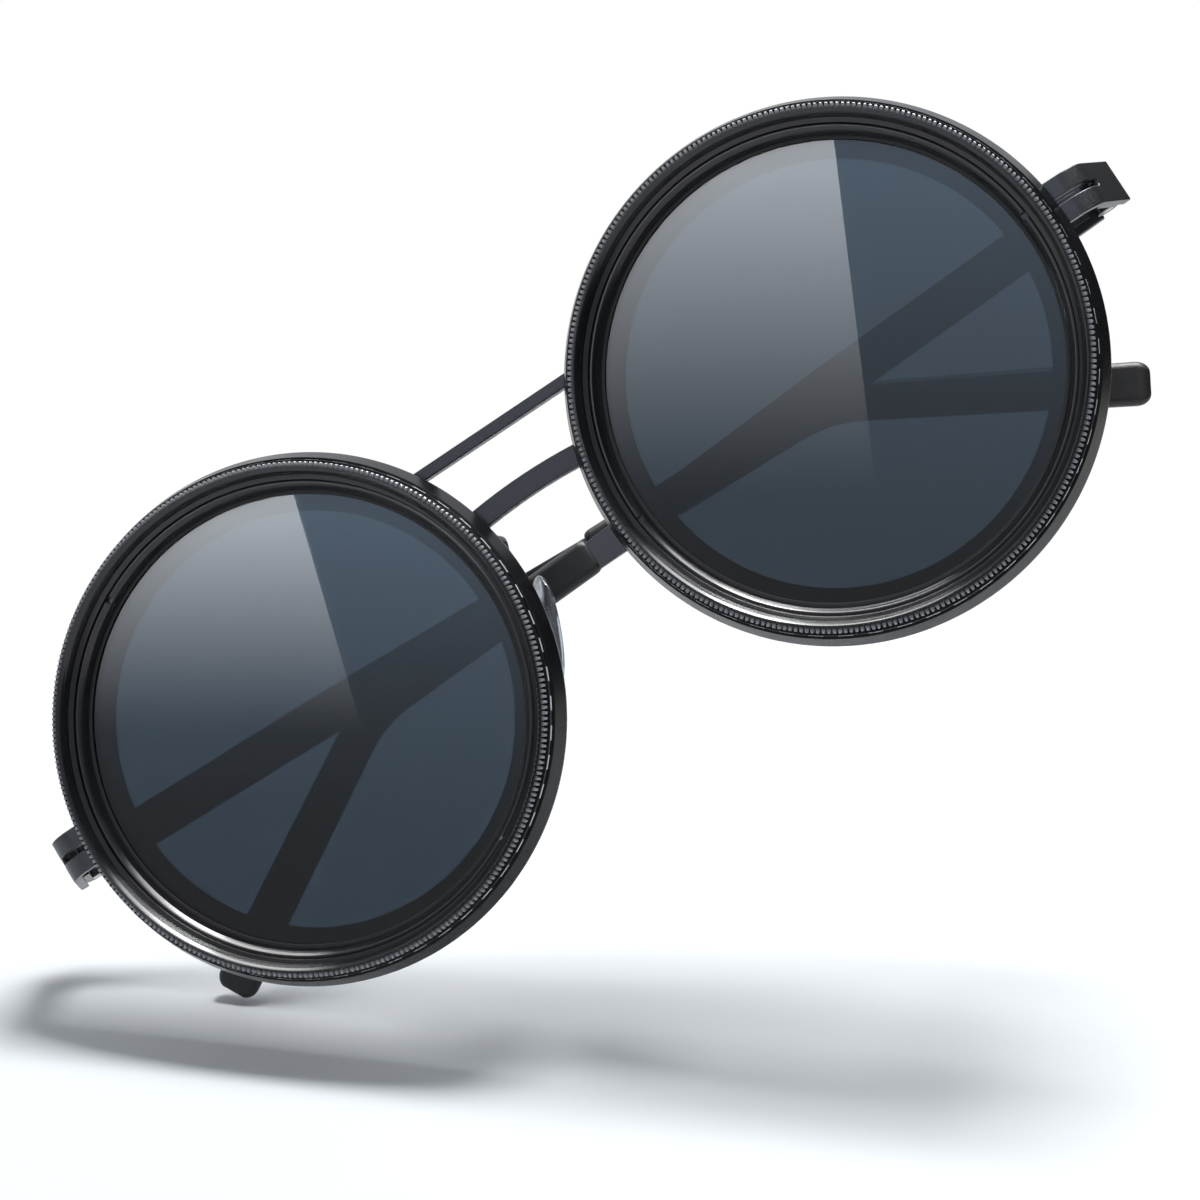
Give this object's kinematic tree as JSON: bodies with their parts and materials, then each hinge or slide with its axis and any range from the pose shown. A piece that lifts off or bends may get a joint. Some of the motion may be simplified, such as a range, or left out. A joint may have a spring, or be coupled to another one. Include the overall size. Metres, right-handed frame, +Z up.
{
  "type": "round sunglasses",
  "caption": "Round sunglasses with dark flat polarising lenses in knurled turning rings, double bar bridge, slotted side pieces and folding temples with bent black sleeves, stored folded.",
  "frame": {"origin": "midway between the two lens centres, in the plane of the rims' widest rear edge", "axes": "+X to the right seen from the front, lens fronts face -Y, +Z up, temples folded behind at rest"},
  "size_m": [0.1352, 0.0253, 0.056],
  "materials": {
    "rim_black": "satin black anodised",
    "ring_black": "satin black anodised",
    "frame_black": "satin black lacquer",
    "lens": "polished, grey polarising",
    "bare_steel": "bare",
    "dash_white": "white enamel",
    "gasket_black": "matte",
    "sleeve_black": "matte soft-touch",
    "pad_silicone": "smooth dark silicone"
  },
  "bodies": {
    "frame": {"brow_bar": "frame_black", "bridge_bar": "frame_black", "left_rim": "rim_black", "right_rim": "rim_black", "left_rear_lens": "lens", "right_rear_lens": "lens", "left_rear_retainer": "ring_black", "right_rear_retainer": "ring_black", "left_slip_ring": "bare_steel", "right_slip_ring": "bare_steel", "left_index_dashes": "dash_white", "right_index_dashes": "dash_white", "left_endpiece": "frame_black", "right_endpiece": "frame_black", "left_hinge_base": "frame_black", "right_hinge_base": "frame_black", "left_hinge_screw": "bare_steel", "right_hinge_screw": "bare_steel", "left_pad_arm": "frame_black", "right_pad_arm": "frame_black", "left_pad_screw": "bare_steel", "right_pad_screw": "bare_steel"},
    "left_tint": {"left_tint_ring": "ring_black", "left_front_lens": "lens", "left_gasket": "gasket_black", "left_front_retainer": "ring_black"},
    "left_arm": {"left_temple": "frame_black", "left_temple_knuckle": "frame_black", "left_tip_sleeve": "sleeve_black"},
    "left_pad": {"left_nose_pad": "pad_silicone", "left_pad_core": "bare_steel"},
    "right_tint": {"right_tint_ring": "ring_black", "right_front_lens": "lens", "right_gasket": "gasket_black", "right_front_retainer": "ring_black"},
    "right_arm": {"right_temple": "frame_black", "right_temple_knuckle": "frame_black", "right_tip_sleeve": "sleeve_black"},
    "right_pad": {"right_nose_pad": "pad_silicone", "right_pad_core": "bare_steel"}
  },
  "joints": [
    {"name": "left_temple_fold", "type": "hinge", "parent": "frame", "child": "left_arm", "pos_m": [-0.06509, 0.01002, 0.0019], "axis": [0, 0, 1], "range_deg": [0, 86.5]},
    {"name": "left_tint_turn", "type": "hinge", "parent": "frame", "child": "left_tint", "pos_m": [-0.033, 0, 0], "axis": [0, 1, 0], "continuous": true},
    {"name": "left_pad_rock", "type": "hinge", "parent": "frame", "child": "left_pad", "pos_m": [-0.00938, 0.00628, -0.00483], "axis": [-0.4322, 0.8829, 0.1834], "range_deg": [-6, 6]},
    {"name": "right_temple_fold", "type": "hinge", "parent": "frame", "child": "right_arm", "pos_m": [0.06509, 0.01002, 0.0019], "axis": [0, 0, -1], "range_deg": [0, 90]},
    {"name": "right_tint_turn", "type": "hinge", "parent": "frame", "child": "right_tint", "pos_m": [0.033, 0, 0], "axis": [0, 1, 0], "continuous": true},
    {"name": "right_pad_rock", "type": "hinge", "parent": "frame", "child": "right_pad", "pos_m": [0.00938, 0.00628, -0.00483], "axis": [0.4322, 0.8829, 0.1834], "range_deg": [-6, 6]}
  ]
}
